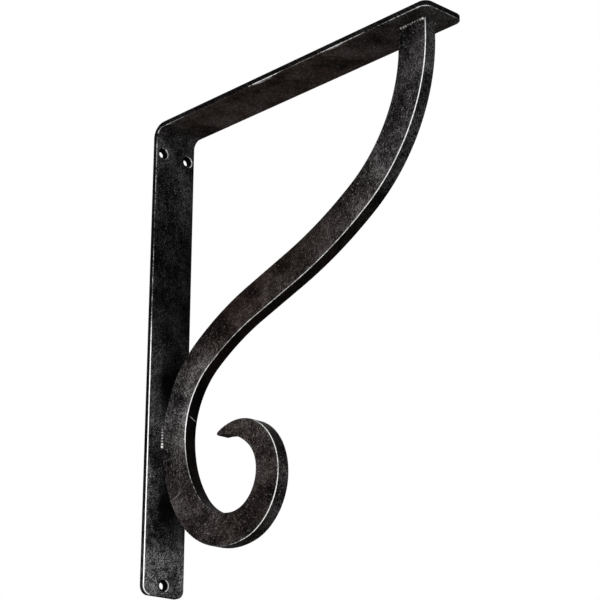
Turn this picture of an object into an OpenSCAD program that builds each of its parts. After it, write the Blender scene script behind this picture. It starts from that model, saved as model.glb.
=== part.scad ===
// Decorative shelf bracket: a flat bar bent into an L, with an S-shaped scroll brace welded
// between its legs. The wall is the plane x = 0, the shelf lies on top, +Z is up.
// The origin is on the wall, midway between the two upper screw holes.

/* [Strap] */
// Width of the flat bar
strap_w = 26; // [22:0.2:40]
// Thickness of the flat bar
strap_t = 3.2; // [2:0.1:5]
// Height of the wall leg, from its lower end to the top of the shelf leg
wall_h = 251.6; // [244:0.2:320]
// Depth of the shelf leg, from the wall to its free end
shelf_d = 199.8; // [150:0.2:260]
// Inside radius of the bend between the two legs
bend_r = 4.5; // [1:0.1:8]
// Radius of the corners at the two free ends
end_r = 4.5; // [1:0.1:8]
// Size of the broken edges of the bars
edge = 0.5; // [0.2:0.05:0.8]

/* [Screw holes] */
// Bore of the three screw holes
screw_d = 3.7; // [3:0.1:4.5]
// Width of the countersinks at the face of the leg
sink_d = 6.4; // [4.6:0.1:8]
// Distance between the two upper holes
pair_gap = 16.6; // [10:0.1:18]
// Depth of the upper holes below the top of the shelf leg
pair_drop = 16; // [14:0.1:30]
// Height of the lower hole above the lower end of the wall leg
low_hole_up = 5.6; // [5:0.1:12]

/* [Brace] */
// Width of the brace's bar, seen from the side
brace_w = 18; // [12:0.1:24]
// Thickness of the brace's bar, across the strap
brace_t = 7.2; // [4:0.1:12]
// Distance from the free end of the shelf leg to the brace
brace_inset = 9.3; // [6:0.1:40]
// Depth of the brace's touch on the wall leg below the top of the shelf leg
touch_drop = 173.7; // [150:0.1:182]
// Straight run of the brace under the shelf leg
neck_run = 8; // [2:0.1:20]
// Straight run in the middle of the brace's S
lean_run = 30; // [10:0.5:50]
// Turn of the slow arc that ends the upper bow, in degrees
slow_turn = 14; // [8:0.5:20]
// Amount by which that slow arc's radius is larger than the bow's
slow_gain = 137; // [60:1:180]
// Radius of the slow arc where the brace starts to drop, on its centreline
drop_r = 147; // [80:1:180]
// Turn of that slow arc, in degrees
drop_turn = 16; // [8:0.5:24]
// Radius where the brace turns down along the wall, on its centreline
wall_r = 50; // [35:0.5:65]

/* [Scroll] */
// Inside radius of the first arc below the touch
heel_r = 52; // [46:0.1:58]
// Turn of that arc along the outer edge, in degrees
heel_turn = 33; // [28:0.5:38]
// Further turn of that arc along the inner edge, in degrees
heel_lag = 6; // [2:0.5:10]
// Inside radius of the scroll's belly
belly_r = 30.4; // [26:0.1:36]
// Turn of the belly along the outer edge, in degrees
belly_turn_out = 74; // [70:0.5:80]
// Turn of the belly along the inner edge, in degrees
belly_turn_in = 51; // [46:0.5:56]
// Outer radius of the curl
curl_r = 30.4; // [28:0.1:34]
// Turn of the curl up to the nose, in degrees
curl_turn = 190.5; // [180:0.5:196]
// Radius of the eye inside the curl
eye_r = 18.1; // [15:0.1:20]
// Turn of the eye, in degrees
eye_turn = 137.5; // [130:0.5:144]
// Radius of the drawn-out tip along its inner edge
brow_r = 31; // [24:0.5:38]
// Turn of the inner edge along the tip up to the nose, in degrees
brow_turn = 44; // [38:0.5:48]

/* [Welds] */
// Radius of the weld beads
bead_r = 1; // [0.9:0.05:2]
// Distance from one ripple of a bead to the next
ripple = 1.5; // [1:0.1:2.5]
// Length of the beads at the brace's touch on the wall leg
touch_bead = 12; // [6:0.5:20]
// Height of the middle of those beads above the touch
touch_bead_up = 3; // [0:0.1:4]
// Length left bare between the beads under the shelf leg and the brace's wall side
bare_run = 2; // [0.5:0.1:4]
// Share by which the ripples of a bead fall short of its radius, unevenly
uneven = 0.2; // [0:0.05:0.3]

/* [Hidden] */
$fn = 96;
steel = "#2e2c2b";
rubbed = "#8d8b88";

// Heights of the top face, the underside of the shelf leg and the lower end
top_z = pair_drop;
under_z = top_z - strap_t;
low_z = top_z - wall_h;
low_hole_z = low_z + low_hole_up;
touch_z = top_z - touch_drop;
// Slack by which a cutting tool passes the face it starts from
past = 0.5;
// Angle by which the unevenness of a bead moves on from ripple to ripple
sway = 100;
// Largest gap between a true arc of the stem and its facets, and the steps of the scroll
smooth = 0.03;
scroll_steps = 64;

// The stem's centreline starts at neck_x under the shelf leg and ends beside the wall leg.
// The bow's radius and the lean of the middle run follow from the space between the two:
// the run is the inner tangent of the bow and of the arc that turns down along the wall.
half_w = brace_w / 2;
neck_x = shelf_d - brace_inset - half_w;
span_x = neck_x - (strap_t + half_w + wall_r);
span_z = under_z - neck_run - touch_z;
drop_rise = drop_r - (drop_r - wall_r) * cos(drop_turn);
off_line = slow_gain * (1 - cos(slow_turn)) + drop_rise;
along_line = lean_run + slow_gain * sin(slow_turn) + (drop_r - wall_r) * sin(drop_turn);
bow_r = (span_x ^ 2 + span_z ^ 2 - off_line ^ 2 - along_line ^ 2) / (2 * (span_x + off_line));
side = span_x - bow_r;
reach = bow_r + off_line;
lean = atan2(along_line * side + reach * span_z, along_line * span_z - reach * side);

// Runs are [0, length] and arcs are [radius, turn], with left turns positive.
stem = [
    [0, neck_run],
    [bow_r, slow_turn - lean],
    [bow_r + slow_gain, -slow_turn],
    [0, lean_run],
    [drop_r, drop_turn],
    [wall_r, lean - drop_turn],
    [heel_r + half_w, heel_turn],
];
outer_edge = [
    [belly_r + brace_w, belly_turn_out],
    [curl_r, curl_turn],
];
inner_edge = [
    [heel_r, heel_lag],
    [belly_r, belly_turn_in],
    [eye_r, eye_turn],
    [brow_r, brow_turn],
];

// A place on the side view is [x, z, heading].
neck_place = [neck_x, under_z, -90];
heel_place = follow(neck_place, stem);
outer_place = beside(heel_place, -half_w);
inner_place = beside(heel_place, half_w);
// The nose is an arc from the end of the outer edge round to the end of the inner one.
tip_place = follow(outer_place, outer_edge);
brow_place = follow(inner_place, inner_edge);
nose_turn = brow_place[2] + 180 - tip_place[2];
nose_r = norm(flat(brow_place) - flat(tip_place)) / (2 * sin(nose_turn / 2));
nose_steps = 6;

// The strap's centreline, from the corners of its lower end to those of its shelf end
strap_bend = bend_r + strap_t / 2;
foot_place = [strap_t / 2, low_z + end_r, 90];
strap_line = [
    [0, wall_h - end_r - strap_t - bend_r],
    [strap_bend, -90],
    [0, shelf_d - end_r - strap_t - bend_r],
];
shelf_end = follow(foot_place, strap_line);

// Place beside another one, a distance to its left
function beside(place, left) =
    [place[0] - left * sin(place[2]), place[1] + left * cos(place[2]), place[2]];

// Place at the end of one run or of an arc, or part of the way along it
function step(place, piece, part = 1) =
    piece[0] == 0
        ? [
            place[0] + part * piece[1] * cos(place[2]),
            place[1] + part * piece[1] * sin(place[2]),
            place[2],
        ]
        : let (
            left = sign(piece[1]) * piece[0],
            centre = beside(place, left)
        )
        beside([centre[0], centre[1], place[2] + part * piece[1]], -left);

// Place at the end of a whole path
function follow(place, path, i = 0) =
    i == len(path) ? place : follow(step(place, path[i]), path, i + 1);

// Place on a path of arcs after part of its whole turn
function along(place, path, turned, i = 0) =
    i == len(path) - 1 || turned <= path[i][1]
        ? step(place, path[i], turned / path[i][1])
        : along(step(place, path[i]), path, turned - path[i][1], i + 1);

// Whole turn of a path of arcs
function whole_turn(path) = [for (piece = path) piece[1]] * [for (piece = path) 1];

// Points along the stem, a distance to its left, close enough for its arcs to look round
function stem_points(left, place = neck_place, i = 0) =
    i == len(stem)
        ? []
        : let (
            radius = stem[i][0],
            grain = radius == 0 ? stem[i][1] : 2 * acos(1 - smooth / (radius + half_w)),
            count = ceil(abs(stem[i][1]) / grain)
        )
        concat(
            [for (k = [0:count - 1]) flat(beside(step(place, stem[i], k / count), left))],
            stem_points(left, step(place, stem[i]), i + 1)
        );

// Points along one edge of the scroll
function scroll_points(place, path) = [
    for (k = [0:scroll_steps]) flat(along(place, path, k / scroll_steps * whole_turn(path)))
];

// Point of a place
function flat(place) = [place[0], place[1]];

// Unit vector to the left of the line from one point to another
function normal(from, to) =
    let (along = (to - from) / norm(to - from)) [-along[1], along[0]];

// Closed outline drawn in by a distance, its corners mitred
function inset(outline, distance) =
    let (count = len(outline))
    [
        for (i = [0:count - 1])
            let (
                before = normal(outline[(i + count - 1) % count], outline[i]),
                after = normal(outline[i], outline[(i + 1) % count])
            )
            outline[i] + distance * (before + after) / (1 + before * after)
    ];

// Section of a bar with broken edges, its width across the path
function bar_section(width, thick) = [
    for (p = [[1, -1], [1, 1], [-1, 1], [-1, -1]])
        for (q = p[0] == p[1] ? [[0, 1], [1, 0]] : [[1, 0], [0, 1]])
            [p[0] * (width / 2 - q[0] * edge), p[1] * (thick / 2 - q[1] * edge)]
];

// Sweeps a section along a path that starts at the origin and heads along +X
module sweep(path, section, i = 0) {
    if (i < len(path)) {
        radius = path[i][0];
        turn = path[i][1];
        left = sign(turn) * radius;
        if (radius == 0) {
            rotate([90, 0, 90]) linear_extrude(turn) polygon(section);
            translate([turn, 0, 0]) sweep(path, section, i + 1);
        } else {
            translate([0, left, 0]) {
                rotate(turn > 0 ? -90 : 90 + turn)
                    rotate_extrude(angle = abs(turn))
                        polygon([for (p = section) [radius - sign(turn) * p[0], p[1]]]);
                rotate(turn) translate([0, -left, 0]) sweep(path, section, i + 1);
            }
        }
    }
}

// Stands a side view upright in the middle of the strap
module upright() {
    rotate([90, 0, 0]) children();
}

module at_place(place) {
    translate([place[0], place[1], 0]) rotate(place[2]) children();
}

// Free end of the strap, with round corners
module round_end() {
    corner_y = strap_w / 2 - end_r;
    profile = [
        [0, -strap_t / 2],
        [end_r - edge, -strap_t / 2],
        [end_r, -strap_t / 2 + edge],
        [end_r, strap_t / 2 - edge],
        [end_r - edge, strap_t / 2],
        [0, strap_t / 2],
    ];
    rotate([90, 0, 0]) linear_extrude(2 * corner_y, center = true) polygon(profile);
    translate([0, corner_y, 0]) rotate_extrude(angle = 90) polygon(profile);
    translate([0, -corner_y, 0]) rotate(-90) rotate_extrude(angle = 90) polygon(profile);
}

// Countersunk screw hole through the wall leg
module screw_hole(y, z) {
    sink_depth = (sink_d - screw_d) / 2;
    translate([-past, y, z]) rotate([0, 90, 0]) cylinder(d = screw_d, h = strap_t + 2 * past);
    translate([strap_t - sink_depth, y, z])
        rotate([0, 90, 0])
            cylinder(d1 = screw_d, d2 = sink_d + 2 * past, h = sink_depth + past);
}

// Flat bar bent into an L, drilled for three screws
module wall_strap() {
    color(steel)
        difference() {
            union() {
                upright() at_place(foot_place) sweep(strap_line, bar_section(strap_t, strap_w));
                translate([foot_place[0], 0, foot_place[1]]) rotate([0, 90, 0]) round_end();
                translate([shelf_end[0], 0, shelf_end[1]]) round_end();
            }
            for (y = [-1, 1] * pair_gap / 2) screw_hole(y, 0);
            screw_hole(0, low_hole_z);
        }
}

// Flat bar between two rows of points with broken edges, its far end running out to a nose
module flat_bar(near_row, far_row, nose_row, thick) {
    rungs = len(near_row);
    outline = concat(near_row, nose_row, [for (i = [rungs - 1:-1:0]) far_row[i]]);
    drawn_in = inset(outline, edge);
    count = len(outline);
    levels = [
        [drawn_in, -thick / 2],
        [outline, -thick / 2 + edge],
        [outline, thick / 2 - edge],
        [drawn_in, thick / 2],
    ];
    top = (len(levels) - 1) * count;
    sides = [
        for (k = [0:len(levels) - 2], i = [0:count - 1])
            let (j = (i + 1) % count)
            [k * count + i, (k + 1) * count + i, (k + 1) * count + j, k * count + j]
    ];
    // Each face is a row of strips from one edge of the bar to the other.
    strips = concat(
        [for (i = [0:rungs - 2]) [i, i + 1, count - 2 - i, count - 1 - i]],
        [[for (i = [rungs - 1:count - rungs]) i]]
    );
    backs = [for (f = strips) [for (i = [len(f) - 1:-1:0]) top + f[i]]];
    polyhedron(
        [for (level = levels, p = level[0]) [p[0], p[1], level[1]]],
        concat(sides, strips, backs)
    );
}

// Flat bar on edge: an S from the shelf leg to the wall leg, ending in an open scroll
module scroll_brace() {
    wall_side = concat(stem_points(-half_w), scroll_points(outer_place, outer_edge));
    room_side = concat(stem_points(half_w), scroll_points(inner_place, inner_edge));
    nose = [
        for (k = [1:nose_steps - 1]) flat(step(tip_place, [nose_r, nose_turn], k / nose_steps))
    ];
    color(steel) upright() flat_bar(wall_side, room_side, nose, brace_t);
}

// Rippled quarter-round bead that fills a right-angled corner along +Z
module bead(length) {
    count = round(length / ripple);
    pitch = length / count;
    rotate_extrude(angle = 90)
        intersection() {
            square([bead_r, length]);
            for (i = [0:count - 1])
                translate([0, (i + 0.5) * pitch])
                    circle(max(bead_r * (1 - uneven * abs(sin(sway * i))), 0.6 * pitch));
        }
}

// Beads on both sides of the brace, under the shelf leg
module shelf_welds() {
    length = brace_w - bare_run - edge;
    color(rubbed)
        for (s = [0, 1])
            mirror([0, s, 0])
                translate([neck_x - half_w + bare_run, -brace_t / 2, under_z])
                    rotate([0, 90, 0])
                        rotate(-90)
                            bead(length);
}

// Beads on both sides of the brace, where it touches the wall leg
module touch_welds() {
    color(rubbed)
        for (s = [0, 1])
            mirror([0, s, 0])
                translate([strap_t, -brace_t / 2, touch_z + touch_bead_up - touch_bead / 2])
                    rotate(-90)
                        bead(touch_bead);
}

wall_strap();
scroll_brace();
shelf_welds();
touch_welds();
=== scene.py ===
from math import atan2, ceil, cos, exp, hypot, radians, sin
import bmesh
import bpy
from mathutils import Matrix, Vector


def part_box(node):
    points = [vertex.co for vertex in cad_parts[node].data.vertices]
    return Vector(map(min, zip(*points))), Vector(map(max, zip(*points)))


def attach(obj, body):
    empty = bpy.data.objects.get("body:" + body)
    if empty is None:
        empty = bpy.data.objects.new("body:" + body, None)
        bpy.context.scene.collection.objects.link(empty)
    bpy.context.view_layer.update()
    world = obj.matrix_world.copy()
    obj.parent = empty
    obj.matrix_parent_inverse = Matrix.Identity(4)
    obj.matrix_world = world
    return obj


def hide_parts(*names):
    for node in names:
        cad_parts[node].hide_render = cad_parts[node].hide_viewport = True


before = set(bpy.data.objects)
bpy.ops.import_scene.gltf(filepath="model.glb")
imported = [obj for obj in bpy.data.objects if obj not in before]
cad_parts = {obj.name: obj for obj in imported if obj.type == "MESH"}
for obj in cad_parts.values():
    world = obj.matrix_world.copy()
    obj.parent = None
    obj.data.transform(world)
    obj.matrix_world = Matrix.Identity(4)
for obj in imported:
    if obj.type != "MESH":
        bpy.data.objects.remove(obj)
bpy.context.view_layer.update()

scene = bpy.context.scene


# Wall strap: one flat steel bar with broken edges, bent cold into an L, its ends rounded.
# The wall leg is drilled and countersunk for two screws under the bend and one at its foot;
# the shelf leg lies under the shelf and has no holes.
low_corner, high_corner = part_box("wall_strap")
foot, (end, right, top) = low_corner[2], high_corner
strap_t, end_r, broken_edge = 0.0032, 0.0045, 0.0005
bend_z = top - 0.00785
holes = ((-0.0083, 0.0), (0.0083, 0.0), (0.0, foot + 0.0056))
sink_r = 0.0032
slice_step, wall_slices, shelf_slices, shelf_slice_start = 0.003, 80, 63, 0.01
slice_across = (-0.011, -0.009, -0.004, 0.004, 0.009, 0.011)

# The bar is sliced finely, so that wear can be laid on its points
strap_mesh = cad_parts["wall_strap"].data.copy()
cut = bmesh.new()
cut.from_mesh(strap_mesh)
bmesh.ops.remove_doubles(cut, verts=cut.verts, dist=1e-6)
slices = [((0, y, 0), (0, 1, 0)) for y in slice_across]
slices += [((0, 0, foot + slice_step * i), (0, 0, 1)) for i in range(1, wall_slices)]
slices += [
    ((shelf_slice_start + slice_step * i, 0, 0), (1, 0, 0)) for i in range(shelf_slices)
]
for spot, across in slices:
    everything = cut.verts[:] + cut.edges[:] + cut.faces[:]
    bmesh.ops.bisect_plane(cut, geom=everything, plane_co=spot, plane_no=across, dist=1e-7)

# Up the wall leg, as a share of its height: how scuffed its front is, partly painted light:
# lighter toward the foot, and darker as painted shade at the lower end of the brace's shadow;
# how much more so on the near side; and how hard its near edge is rubbed
scuff_light_and_shade_up = (
    (0, 0.8),
    (0.02, 1.3),
    (0.045, 1.7),
    (0.068, 1.5),
    (0.09, 0.75),
    (0.115, 0.28),
    (0.15, 0.3),
    (0.3, 0.32),
    (0.46, 0.18),
    (0.58, 0.11),
    (0.79, 0.18),
    (0.9, 0.32),
    (1, 0.3),
)
nearer_up = (
    (0, 0),
    (0.1, 0.1),
    (0.14, 2.8),
    (0.2, 2.5),
    (0.24, 3.2),
    (0.33, 3.4),
    (0.37, 1.3),
    (0.5, 2.0),
    (0.54, 0.2),
    (0.6, 0),
)
rubbed_up = (
    (0, 1.1),
    (0.3, 1.05),
    (0.53, 0.95),
    (0.58, 0.5),
    (0.7, 0.52),
    (0.75, 0.34),
    (0.83, 0.48),
    (0.9, 0.5),
    (1, 0.6),
)
# Out along the shelf leg, in metres: how brown its underside is and how hard its near edge
# is rubbed
browned_out = (
    (0, 0.0),
    (0.01, 0.4),
    (0.025, 1.8),
    (0.06, 2.8),
    (0.12, 2.6),
    (0.15, 0.9),
    (0.2, 0.4),
)
rubbed_out = (
    (0, 0.6),
    (0.02, 0.45),
    (0.036, 0.15),
    (0.05, 0.12),
    (0.058, 0.3),
    (0.072, 0.16),
    (0.08, 0.85),
    (0.092, 0.85),
    (0.102, 0.42),
    (0.13, 0.52),
    (0.138, 0.9),
    (0.146, 0.7),
    (0.162, 0.42),
    (0.18, 0.5),
    (0.2, 0.75),
)
shelf_scuff, narrow_scuff, foot_narrow_scuff, foot_reach = 0.21, 0.06, 0.14, 0.2
less_on_far_side = 0.35
hidden_rub, foot_end_rub, shelf_end_rub = 0.12, 0.15, 0.48
far_wall_rub, far_shelf_rub = 0.25, 0.2
sink_wear_and_highlight, sink_side_wear_and_highlight, sink_rim, sink_rim_rise = 0.66, 0.45, 0.14, 600
narrow_rim, clearly_tilted = 0.1, 0.3

# The brace stands close in front of the wall leg just above and below where they touch, and
# shades it there: that shadow is painted on the wall leg's front as two dark patches
touch_z, brace_half_t = -0.1577, 0.0036
shadow_off, shadow_run, shadow_reach, shadow_share = 0.032, 0.016, 0.003, 0.95


def graded(rows, at, column=1):
    for here, there in zip(rows, rows[1:]):
        if at <= there[0]:
            share = (at - here[0]) / (there[0] - here[0])
            return here[column] + share * (there[column] - here[column])
    return rows[-1][column]


def from_outline(x, y, z):
    past_end = max(x - (end - end_r), foot + end_r - z, 0)
    past_side = max(abs(y) - (right - end_r), 0)
    return end_r - hypot(past_end, past_side) if past_end > 0 else right - abs(y)


rub_layer, sunk_layer = (cut.faces.layers.float.new(name) for name in ("rub_and_highlight", "sunk"))
rim_layer, scuff_layer, warm_layer = (
    cut.verts.layers.float.new(name) for name in ("rim", "scuff_and_painted_light", "warm")
)
uv = cut.loops.layers.uv.new("along_bar")
for v in cut.verts:
    x, y, z = v.co
    height = (z - foot) / (top - foot)
    rim = 1000 * from_outline(x, y, z)
    on_narrow_face = rim < narrow_rim
    if on_narrow_face:
        scuff_and_painted_light = narrow_scuff + foot_narrow_scuff * exp(-((height / foot_reach) ** 2))
    elif z < bend_z:
        # Painted shadow of the brace: the scuff, and so the colour, is taken down in two
        # patches above and below the touch, close beside the brace
        off_middle = (abs(z - touch_z) - shadow_off) / shadow_run
        aside = max(abs(y) - brace_half_t, 0) / shadow_reach
        painted_shadow = exp(-(off_middle**2 + aside**2))
        near_side, far_side = max(-y, 0) / right, max(y, 0) / right
        scuff_and_painted_light = graded(scuff_light_and_shade_up, height) * (1 - shadow_share * painted_shadow)
        scuff_and_painted_light *= 1 + graded(nearer_up, height) * near_side - less_on_far_side * far_side
    else:
        scuff_and_painted_light = shelf_scuff
    for hole_y, hole_z in holes:
        from_axis = hypot(y - hole_y, z - hole_z)
        if from_axis < sink_r + 0.0001:
            rim = sink_rim + sink_rim_rise * (sink_r - from_axis)
    v[rim_layer], v[scuff_layer] = rim, scuff_and_painted_light
    v[warm_layer] = 0.0 if z < bend_z or on_narrow_face else graded(browned_out, x)
for f in cut.faces:
    n, (x, y, z) = f.normal, f.calc_center_median()
    in_hole = any(hypot(y - hole_y, z - hole_z) < sink_r for hole_y, hole_z in holes)
    on_end, at_foot = x > end - broken_edge, z < foot + broken_edge
    on_edge = on_end or at_foot or from_outline(x, y, z) < broken_edge
    tilted = sorted(abs(k) for k in n)[1] > clearly_tilted
    front = n.x > clearly_tilted if z < bend_z else n.z < -clearly_tilted
    edge_wear_and_highlight = 0.0
    if tilted and on_edge and not in_hole:
        if not front:
            edge_wear_and_highlight = hidden_rub
        elif at_foot and y > end_r - right:
            edge_wear_and_highlight = foot_end_rub
        elif z < bend_z:
            edge_wear_and_highlight = graded(rubbed_up, (z - foot) / (top - foot)) if y < 0 else far_wall_rub
        elif on_end:
            edge_wear_and_highlight = shelf_end_rub
        else:
            edge_wear_and_highlight = graded(rubbed_out, x) if y < 0 else far_shelf_rub
    # In a countersink, cone faces turned to the near side get the edge line: a rubbed rim, and
    # a painted highlight on the side of the cone that faces the key lamp
    elif tilted and in_hole and n.y < 0.25:
        edge_wear_and_highlight = sink_wear_and_highlight if n.y < -clearly_tilted else sink_side_wear_and_highlight
    f[rub_layer], f[sunk_layer] = edge_wear_and_highlight, float(in_hole)
    f.smooth = True
    far_side, back_face = n.y > 0.5, n.x < 0 or n.z > 0.5
    for loop in f.loops:
        p = loop.vert.co
        loop[uv].uv = (p.x + p.z + 0.3 * far_side, p.y + 0.1 * back_face)
cut.to_mesh(strap_mesh)
cut.free()

# Its finish: steel blackened by hand, patchy and dull, scuffed by fine hair scratches and
# specks, and rubbed through to bright metal along the broken edges. The points and faces say
# how hard an edge is rubbed, which on the countersink cones is also a painted highlight; how
# far it is from the bar's outline in mm ("rim"); how scuffed it is, which on the wall leg also
# carries painted light and the brace's painted shadow; how brown it is ("warm"); and what lies
# inside a screw hole ("sunk").
black = bpy.data.materials.new("blackened_steel")
black.use_nodes = True
tree = black.node_tree
tree.nodes.clear()


def node(kind, **settings):
    made = tree.nodes.new(kind)
    for name, value in settings.items():
        if name in made.inputs:
            made.inputs[name].default_value = value
        else:
            setattr(made, name, value)
    return made


def link(a, b):
    tree.links.new(a, b)


def noise(coords, scale, detail, rough):
    made = node("ShaderNodeTexNoise", Scale=scale, Detail=detail, Roughness=rough)
    link(coords, made.inputs["Vector"])
    return made.outputs["Fac"]


def ramp(value, low, high, out_low=0.0, out_high=1.0):
    made = node("ShaderNodeMapRange")
    made.inputs["From Min"].default_value = low
    made.inputs["From Max"].default_value = high
    made.inputs["To Min"].default_value = out_low
    made.inputs["To Max"].default_value = out_high
    link(value, made.inputs["Value"])
    return made.outputs["Result"]


def calc(how, *values):
    made = node("ShaderNodeMath", operation=how)
    for socket, value in zip(made.inputs, values):
        if isinstance(value, (int, float)):
            socket.default_value = value
        else:
            link(value, socket)
    return made.outputs[0]


def times(a, b):
    return calc("MULTIPLY", a, b)


def weighed(a, share_a, b, share_b):
    return calc("ADD", times(a, share_a), times(b, share_b))


def mix(factor, a, b):
    made = node("ShaderNodeMix", data_type="RGBA")
    link(factor, made.inputs["Factor"])
    for socket, value in ((made.inputs[6], a), (made.inputs[7], b)):
        if isinstance(value, tuple):
            socket.default_value = value
        else:
            link(value, socket)
    return made.outputs[2]


def hairs(turn, length, scale, low, high):
    place = node("ShaderNodeMapping", vector_type="TEXTURE")
    place.inputs["Rotation"].default_value = (0, 0, radians(turn))
    place.inputs["Scale"].default_value = (length, 1, 1)
    link(flat, place.inputs["Vector"])
    return ramp(noise(place.outputs["Vector"], scale, 2, 0.6), low, high)


solid = node("ShaderNodeTexCoord").outputs["Object"]
flat = node("ShaderNodeUVMap", uv_map="along_bar").outputs["UV"]
rub_and_highlight, rim, scuff_and_painted_light, warm, sunk = (
    node("ShaderNodeAttribute", attribute_name=name).outputs["Fac"]
    for name in ("rub_and_highlight", "rim", "scuff_and_painted_light", "warm", "sunk")
)
# Nothing scuffs the inside of a screw hole, and taking the scuff away there also paints its
# cone and bore darker: painted shade in the hollow
scuff_and_painted_light = times(scuff_and_painted_light, calc("SUBTRACT", 1, sunk))

# Soft clouds of wear, within them patches, and within those specks, hairs and a few glints
clouds = noise(solid, 60, 3, 0.6)
patches = noise(solid, 260, 4, 0.65)
grain = noise(solid, 2100, 2, 0.6)
worn_area = ramp(weighed(clouds, 0.72, patches, 0.28), 0.38, 0.62)
hair = calc("MAXIMUM", hairs(35, 7, 2300, 0.56, 0.66), hairs(-28, 8, 2300, 0.57, 0.67))
hair = calc("MAXIMUM", hair, hairs(80, 6, 2000, 0.58, 0.68))
marks = weighed(ramp(grain, 0.57, 0.64), 0.75, hair, 0.92)
marks = times(times(marks, ramp(worn_area, 0, 1, 0.12, 1)), scuff_and_painted_light)
glints = times(ramp(noise(solid, 1250, 1, 0.5), 0.67, 0.74), ramp(scuff_and_painted_light, 0.02, 0.25, 0, 0.42))
marks = calc("MAXIMUM", marks, glints)

deep = (0.0013, 0.0012, 0.0012, 1)
deep_brown = (0.0146, 0.0078, 0.0058, 1)
dull = (0.0080, 0.0076, 0.0076, 1)
brown = (0.0190, 0.0140, 0.0130, 1)
hazy = (0.045, 0.043, 0.043, 1)
grey_scuff = (0.47, 0.465, 0.475, 1)
brown_scuff = (0.47, 0.395, 0.378, 1)
bare = (0.86, 0.86, 0.855, 1)
browned = times(ramp(weighed(clouds, 0.6, patches, 0.4), 0.36, 0.63), warm)
black_or_brown = mix(browned, deep, deep_brown)
ground = mix(times(worn_area, scuff_and_painted_light), black_or_brown, mix(browned, dull, brown))
haze = times(ramp(clouds, 0.5, 0.7), ramp(scuff_and_painted_light, 0.05, 0.4, 0, 0.85))
ground = mix(haze, ground, hazy)
coat = mix(marks, ground, mix(warm, grey_scuff, brown_scuff))

# A thin line along the middle of each broken edge, broken up, with a few specks beside it
breaks = weighed(noise(solid, 300, 4, 0.7), 0.6, noise(solid, 1700, 2, 0.7), 0.4)
inward = calc("SUBTRACT", rim, times(rub_and_highlight, 0.3))
line = times(ramp(rim, 0.04, 0.14), ramp(inward, 0.08, 0.2, 1, 0))
line = times(line, ramp(calc("ADD", breaks, times(rub_and_highlight, 0.45)), 0.66, 0.9))
line = times(line, ramp(rub_and_highlight, 0.02, 0.5))
beside_line = times(ramp(rim, 0.5, 1.8, 1, 0), ramp(rim, 0.4, 0.5))
beside_line = times(beside_line, times(ramp(breaks, 0.53, 0.66, 0, 0.45), scuff_and_painted_light))
wear_and_highlight = calc("MAXIMUM", line, beside_line)

# Deeper scratches on the brace's narrow face above the touch and its wide face below it, a
# nick at the foot, and two smears on the shelf leg's near edge: place, turn, size, strength
for spot, turn, size, strength in (
    ((0.0223, 0.0001, -0.1481), (-25, 0, 0), (0.003, 0.003, 0.0003), 0.6),
    ((0.0165, -0.0036, -0.1871), (0, -26.6, 0), (0.0047, 0.002, 0.00045), 0.16),
    ((0.0032, -0.0031, -0.2215), (60, 0, 0), (0.001, 0.0007, 0.0004), 0.4),
    ((0.0865, -0.0122, 0.0128), (0, 0, 0), (0.0075, 0.0011, 0.0008), 0.45),
    ((0.1395, -0.0124, 0.0128), (0, 0, 0), (0.0055, 0.0008, 0.0008), 0.45),
):
    place = node("ShaderNodeMapping", vector_type="TEXTURE")
    place.inputs["Location"].default_value = spot
    place.inputs["Rotation"].default_value = [radians(k) for k in turn]
    place.inputs["Scale"].default_value = size
    link(solid, place.inputs["Vector"])
    off = node("ShaderNodeVectorMath", operation="LENGTH")
    link(place.outputs["Vector"], off.inputs[0])
    scratch = ramp(off.outputs["Value"], 0.4, 1, strength, 0)
    wear_and_highlight = calc("MAXIMUM", wear_and_highlight, times(scratch, ramp(breaks, 0.38, 0.5)))

bump = node("ShaderNodeBump", Strength=0.35, Distance=0.0003)
link(weighed(patches, 0.6, grain, 0.4), bump.inputs["Height"])
shader = node("ShaderNodeBsdfPrincipled")
shader.inputs["Specular IOR Level"].default_value = 0.002
link(mix(wear_and_highlight, coat, bare), shader.inputs["Base Color"])
link(times(wear_and_highlight, 0.3), shader.inputs["Metallic"])
link(ramp(patches, 0.3, 0.7, 0.42, 0.62), shader.inputs["Roughness"])
link(bump.outputs["Normal"], shader.inputs["Normal"])
link(shader.outputs["BSDF"], node("ShaderNodeOutputMaterial").inputs["Surface"])

strap_mesh.materials.clear()
strap_mesh.materials.append(black)
strap_mesh.set_sharp_from_angle(angle=radians(25))
strap = bpy.data.objects.new("strap_bar", strap_mesh)
scene.collection.objects.link(strap)
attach(strap, "root")
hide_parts("wall_strap")


# Scroll brace: one flat steel bar on edge, its edges broken, bent into an S and drawn out to
# a blunt tip at the end of an open curl. Its upper end butts under the shelf leg, its back
# just touches the wall leg, and it is welded at both. Sizes are in mm.
brace_w, half_t, edge = 18.0, 1000 * brace_half_t, 1000 * broken_edge
half_w = brace_w / 2
room_side_x, rung_step = 190.5, 2
neck_run, lean_run = 8.0, 30.0
slow_gain, slow_turn = 137.0, radians(14)
drop_r, drop_turn, wall_r = 147.0, radians(16), 50.0
heel_r, heel_turn = 52.0, radians(33)
outer_edge = ((48.4, radians(74)), (30.4, radians(190.5)))
inner_edge = (
    (52.0, radians(6)),
    (30.4, radians(51)),
    (18.1, radians(137.5)),
    (31.0, radians(44)),
)
neck_x, wall_x = room_side_x - half_w, 1000 * strap_t
under_z, touch_height = 1000 * (top - strap_t), 1000 * touch_z
scroll_length = 150.0

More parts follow.
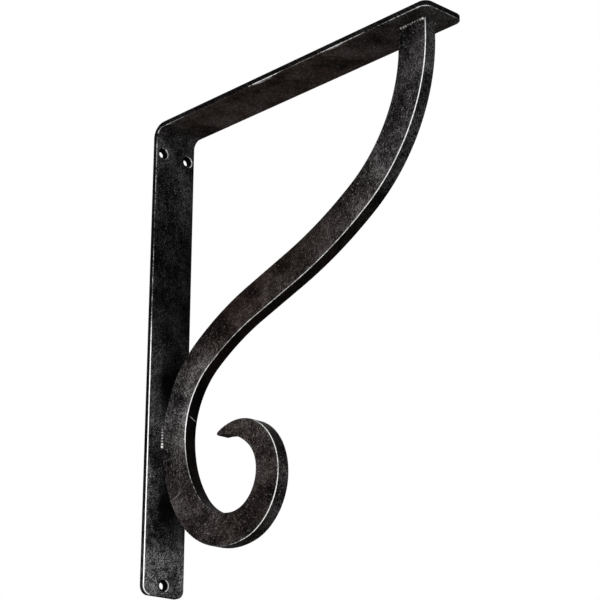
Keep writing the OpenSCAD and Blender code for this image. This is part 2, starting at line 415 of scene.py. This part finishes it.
# The bow and the lean of the middle run follow from the space between shelf leg and wall leg
span_x, span_z = neck_x - (wall_x + half_w + wall_r), under_z - neck_run - touch_height
off_line = slow_gain * (1 - cos(slow_turn)) + drop_r - (drop_r - wall_r) * cos(drop_turn)
along_line = lean_run + slow_gain * sin(slow_turn) + (drop_r - wall_r) * sin(drop_turn)
bow_r = (span_x**2 + span_z**2 - off_line**2 - along_line**2) / (2 * (span_x + off_line))
side, reach = span_x - bow_r, bow_r + off_line
lean = atan2(along_line * side + reach * span_z, along_line * span_z - reach * side)
stem = (
    (0, neck_run),
    (bow_r, slow_turn - lean),
    (bow_r + slow_gain, -slow_turn),
    (0, lean_run),
    (drop_r, drop_turn),
    (wall_r, lean - drop_turn),
    (heel_r + half_w, heel_turn),
)


def beside(place, left):
    x, z, heading = place
    return x - left * sin(heading), z + left * cos(heading), heading


def walk(place, piece, part=1.0):
    radius, amount = piece
    if radius == 0:
        x, z, heading = place
        return x + part * amount * cos(heading), z + part * amount * sin(heading), heading
    left = radius if amount > 0 else -radius
    x, z, heading = beside(place, left)
    return beside((x, z, heading + part * amount), -left)


def along(place, path, share):
    turned = share * sum(turn for radius, turn in path)
    for piece in path[:-1]:
        if turned <= piece[1]:
            return walk(place, piece, turned / piece[1])
        turned -= piece[1]
        place = walk(place, piece)
    return walk(place, path[-1], turned / path[-1][1])


# Rungs across the bar, each from its wall side to its room side, with the length run so far:
# down the stem, round the curl and over the blunt nose at its tip
rungs = []
run = 0.0
place = (neck_x, under_z, radians(-90))
for piece in stem:
    length = piece[1] if piece[0] == 0 else abs(piece[0] * piece[1])
    steps = ceil(length / rung_step)
    for k in range(steps):
        spot = walk(place, piece, k / steps)
        rungs.append((beside(spot, -half_w), beside(spot, half_w), run + length * k / steps))
    run += length
    place = walk(place, piece)
curl_steps, nose_steps = 110, 8
outer_start, inner_start = beside(place, -half_w), beside(place, half_w)
for k in range(curl_steps + 1):
    share = k / curl_steps
    outer, inner = along(outer_start, outer_edge, share), along(inner_start, inner_edge, share)
    rungs.append((outer, inner, run + share * scroll_length))
nose_turn = inner[2] + radians(180) - outer[2]
nose_r = hypot(outer[0] - inner[0], outer[1] - inner[1]) / (2 * sin(nose_turn / 2))
for k in range(1, nose_steps // 2):
    before = walk(outer, (nose_r, nose_turn), k / nose_steps)
    after = walk(outer, (nose_r, nose_turn), 1 - k / nose_steps)
    rungs.append((before, after, run + scroll_length))

# Along its length: how scuffed its wide faces and its narrow ones are and how brown it is
worn_along = (
    (0, 0.18, 0.36, 0.2),
    (30, 0.22, 0.44, 0.2),
    (56, 0.38, 0.46, 0.2),
    (64, 0.38, 0.2, 0.25),
    (72, 0.36, 0.22, 0.3),
    (85, 0.32, 0.06, 0.5),
    (115, 0.18, 0.03, 0.8),
    (190, 0.14, 0.02, 1.2),
    (245, 0.72, 0.02, 0.15),
    (run - 10, 0.33, 0.03, 0.7),
    (run + 45, 0.18, 0.1, 0.8),
    (run + 85, 0.2, 0.42, 0.8),
    (run + 104, 0.3, 0.08, 0.8),
    (run + 125, 0.43, 0.01, 0.9),
    (run + scroll_length, 0.34, 0.02, 0.9),
)
# How much lighter its wide faces are toward the room side than toward the wall side, and how
# hard the two near edges are rubbed: the one that ends outside the curl, and the other
uneven_along = ((0, 0.1), (40, 0.35), (200, 0.45), (235, 0.2), (run, 0.0))
rubbed_outside = (
    (0, 0.2),
    (240, 0.2),
    (262, 0.34),
    (run - 10, 0.48),
    (run + 30, 0.5),
    (run + 50, 0.9),
    (run + 70, 0.9),
    (run + 85, 0.68),
    (run + 100, 0.85),
    (run + 112, 0.8),
    (run + 124, 0.3),
    (run + scroll_length, 0.12),
)
rubbed_inside = (
    (0, 0.85),
    (85, 0.85),
    (110, 0.7),
    (175, 0.68),
    (200, 0.58),
    (230, 0.9),
    (256, 0.9),
    (272, 0.6),
    (288, 0.5),
    (run + 14, 0.38),
    (run + 40, 0.45),
    (run + 120, 0.4),
    (run + scroll_length, 0.15),
)
far_edge_rub, narrow_warmth = 0.5, 0.45

# The bar's section, round from the near wide face: share of the width from the wall side to
# the room side, distance from the middle, and whether it lies on a narrow face
shares = (0, 0.04, 0.1, 0.25, 0.5, 0.75, 0.9, 0.96, 1)
levels = (edge - half_t, -1.5, 1.5, half_t - edge)
far_row, edge_row, narrow_row, edge_row_w = 40, 80, 84, 0.7
section = [(s, -half_t, False) for s in shares]
section += [(1, y, True) for y in levels]
section += [(s, half_t, False) for s in reversed(shares)]
section += [(0, y, True) for y in reversed(levels)]

cut = bmesh.new()
rub_layer = cut.faces.layers.float.new("rub_and_highlight")
rim_layer, scuff_layer, warm_layer = (
    cut.verts.layers.float.new(name) for name in ("rim", "scuff_and_painted_light", "warm")
)
uv = cut.loops.layers.uv.new("along_bar")
spot_layer = cut.verts.layers.int.new("spot")
run_layer = cut.verts.layers.float.new("run")


def set_on_rung(v, rung):
    share, y, on_narrow_face = section[v[spot_layer]]
    wall_side, room_side = Vector(rung[0][:2]), Vector(rung[1][:2])
    across, length = room_side - wall_side, rung[2]
    inset = 0 if on_narrow_face else min(edge / across.length, 0.3)
    p = wall_side + (inset + share * (1 - 2 * inset)) * across
    v.co = (p.x / 1000, y / 1000, p.y / 1000)
    v[run_layer] = length
    brownness = graded(worn_along, length, 3)
    if on_narrow_face:
        v[scuff_layer] = graded(worn_along, length, 2)
        v[warm_layer] = narrow_warmth * brownness
    else:
        v[rim_layer] = edge + min(share, 1 - share) * (across.length - 2 * edge)
        uneven = graded(uneven_along, length) * (2 * share - 1)
        v[scuff_layer] = graded(worn_along, length, 1) * (1 + uneven)
        v[warm_layer] = brownness


# The section is drawn at the upper end, closed there, pulled from rung to rung, and closed
# again at the tip
ring = [cut.verts.new() for spot in section]
for i, v in enumerate(ring):
    v[spot_layer] = i
    set_on_rung(v, rungs[0])
edges = [cut.edges.new((a, b)) for a, b in zip(ring, ring[1:] + ring[:1])]
bmesh.ops.contextual_create(cut, geom=edges)
for rung in rungs[1:]:
    pulled = bmesh.ops.extrude_edge_only(cut, edges=edges)["geom"]
    ring = {v for v in pulled if isinstance(v, bmesh.types.BMVert)}
    edges = [e for e in pulled if isinstance(e, bmesh.types.BMEdge) and set(e.verts) <= ring]
    for v in ring:
        v[rim_layer] = 0
        set_on_rung(v, rung)
bmesh.ops.contextual_create(cut, geom=edges)
bmesh.ops.recalc_face_normals(cut, faces=cut.faces)
for f in cut.faces:
    f.smooth = True
    if len(f.verts) > 4:
        continue
    spots = [section[v[spot_layer]] for v in f.verts]
    near = spots[0][1] < 0
    narrow_points = sum(spot[2] for spot in spots)
    if narrow_points == 2:
        length = min(v[run_layer] for v in f.verts)
        rows = rubbed_inside if spots[0][0] == 1 else rubbed_outside
        f[rub_layer] = graded(rows, length) if near else far_edge_rub
    for loop, (share, y, on_narrow_face) in zip(f.loops, spots):
        round_bar = narrow_row + y if on_narrow_face else brace_w * share + far_row * (not near)
        if narrow_points == 2:
            round_bar = edge_row + edge_row_w * on_narrow_face
        loop[uv].uv = (loop.vert[run_layer] / 1000, round_bar / 1000)
cut.verts.layers.int.remove(spot_layer)
cut.verts.layers.float.remove(cut.verts.layers.float["run"])

brace_mesh = bpy.data.meshes.new("brace_bar")
cut.to_mesh(brace_mesh)
cut.free()
brace_mesh.materials.append(black)
brace_mesh.set_sharp_from_angle(angle=radians(25))
brace = bpy.data.objects.new("brace_bar", brace_mesh)
scene.collection.objects.link(brace)
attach(brace, "root")
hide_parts("scroll_brace")


# Weld beads: short rippled steel fillets laid by hand on both sides of the brace, under the
# shelf leg and at the wall leg, blackened with the bars and rubbed bright on their ripples.
weld = bpy.data.materials.new("rubbed_weld")
weld.use_nodes = True
tree = weld.node_tree
tree.nodes.clear()
black_weld, bright_weld = (0.012, 0.0115, 0.011, 1), (0.6, 0.59, 0.58, 1)
solid = node("ShaderNodeTexCoord").outputs["Object"]
crest = node("ShaderNodeAttribute", attribute_name="crest").outputs["Fac"]
grain = noise(solid, 650, 4, 0.75)
shine = ramp(calc("ADD", times(crest, 0.55), grain), 0.95, 1.09)
bump = node("ShaderNodeBump", Strength=0.4, Distance=0.0002)
link(grain, bump.inputs["Height"])
shader = node("ShaderNodeBsdfPrincipled")
link(mix(shine, black_weld, bright_weld), shader.inputs["Base Color"])
link(ramp(shine, 0, 1, 0.1, 0.6), shader.inputs["Metallic"])
link(ramp(grain, 0.3, 0.7, 0.35, 0.6), shader.inputs["Roughness"])
link(bump.outputs["Normal"], shader.inputs["Normal"])
link(shader.outputs["BSDF"], node("ShaderNodeOutputMaterial").inputs["Surface"])

# Each pair of beads lies in the corner between the brace and a leg, and is brightest near
# one end: the room side under the shelf leg, the lower end at the wall leg
bead_r, bright_run, more_at_end = 0.001, 0.0025, 0.35
shelf_bright_x, touch_bright_z = 0.19, -0.1607
for node_name, name in (("shelf_welds", "shelf_beads"), ("touch_welds", "touch_beads")):
    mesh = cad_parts[node_name].data.copy()
    cut = bmesh.new()
    cut.from_mesh(mesh)
    bmesh.ops.remove_doubles(cut, verts=cut.verts, dist=1e-6)
    crest_layer = cut.verts.layers.float.new("crest")
    for v in cut.verts:
        x, y, z = v.co
        if name == "shelf_beads":
            from_leg, from_bright_end = top - strap_t - z, x - shelf_bright_x
        else:
            from_leg, from_bright_end = x - strap_t, z - touch_bright_z
        from_corner = hypot(from_leg, abs(y) - brace_half_t) / bead_r
        v[crest_layer] = from_corner + more_at_end * exp(-((from_bright_end / bright_run) ** 2))
    for f in cut.faces:
        f.smooth = True
    cut.to_mesh(mesh)
    cut.free()
    mesh.materials.clear()
    mesh.materials.append(weld)
    mesh.set_sharp_from_angle(angle=radians(40))
    bead = bpy.data.objects.new(name, mesh)
    scene.collection.objects.link(bead)
    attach(bead, "root")
    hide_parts(node_name)


# Studio: a pale floor well below the bracket, a white backdrop and three soft boxes. What the
# camera and the polished edges see of floor and backdrop is pale; what lights the bars isn't.
def seen_directly():
    path = node("ShaderNodeLightPath").outputs
    seen = calc("MAXIMUM", path["Is Camera Ray"], path["Is Glossy Ray"])
    return calc("MAXIMUM", seen, path["Is Transmission Ray"])


floor_z, floor_half = -0.8, 3
floor_mesh = bpy.data.meshes.new("floor")
cut = bmesh.new()
bmesh.ops.create_grid(cut, x_segments=1, y_segments=1, size=floor_half)
bmesh.ops.translate(cut, verts=cut.verts, vec=(0, 0, floor_z))
cut.to_mesh(floor_mesh)
cut.free()
floor = bpy.data.objects.new("floor", floor_mesh)
scene.collection.objects.link(floor)
pale = bpy.data.materials.new("pale_floor")
pale.use_nodes = True
tree = pale.node_tree
tree.nodes.clear()
plain = node("ShaderNodeEmission", Color=(0.87, 0.87, 0.865, 1), Strength=1.0)
matt = node("ShaderNodeBsdfDiffuse", Color=(0.8, 0.8, 0.79, 1))
choose = node("ShaderNodeMixShader")
link(times(seen_directly(), 0.8), choose.inputs["Fac"])
link(matt.outputs["BSDF"], choose.inputs[1])
link(plain.outputs["Emission"], choose.inputs[2])
link(choose.outputs["Shader"], node("ShaderNodeOutputMaterial").inputs["Surface"])
floor_mesh.materials.append(pale)

world = bpy.data.worlds.new("white_backdrop")
scene.world = world
world.use_nodes = True
tree = world.node_tree
tree.nodes.clear()
backdrop = node("ShaderNodeBackground", Color=(1, 1, 1, 1), Strength=1.0)
glow = node("ShaderNodeBackground", Color=(1, 1, 1, 1), Strength=0.1)
choose = node("ShaderNodeMixShader")
link(seen_directly(), choose.inputs["Fac"])
link(glow.outputs["Background"], choose.inputs[1])
link(backdrop.outputs["Background"], choose.inputs[2])
link(choose.outputs["Shader"], node("ShaderNodeOutputWorld").inputs["Surface"])

middle = Vector((0.08, 0, -0.1))
for name, spot, size, power in (
    ("key", (0.5, -1.3, 0.2), 0.9, 17),
    ("low", (1.0, -0.4, -0.6), 0.7, 3),
    ("back", (-0.45, 1.25, 0.9), 0.9, 13),
):
    lamp = bpy.data.objects.new(name, bpy.data.lights.new(name, "AREA"))
    lamp.data.shape = "SQUARE"
    lamp.data.size = size
    lamp.data.energy = power
    lamp.location = spot
    lamp.rotation_euler = (middle - Vector(spot)).to_track_quat("-Z", "Y").to_euler()
    scene.collection.objects.link(lamp)


# Camera: below the shelf leg and to the left of the bracket, looking up at it.
camera_at, lens, film = (0.7395, -0.5916, -0.3999), 114.43, 36
yaw, pitch, roll = radians(137.16), radians(18.76), radians(-0.3)
forward = Vector((cos(pitch) * cos(yaw), cos(pitch) * sin(yaw), sin(pitch)))
across = forward.cross(Vector((0, 0, 1))).normalized()
down = forward.cross(across)
across, down = cos(roll) * across + sin(roll) * down, cos(roll) * down - sin(roll) * across
turned = Matrix((across, -down, -forward)).transposed().to_4x4()
camera = bpy.data.objects.new("camera", bpy.data.cameras.new("camera"))
camera.data.lens = lens
camera.data.sensor_width = film
camera.matrix_world = Matrix.Translation(camera_at) @ turned
scene.collection.objects.link(camera)
scene.camera = camera
scene.view_settings.view_transform = "Standard"
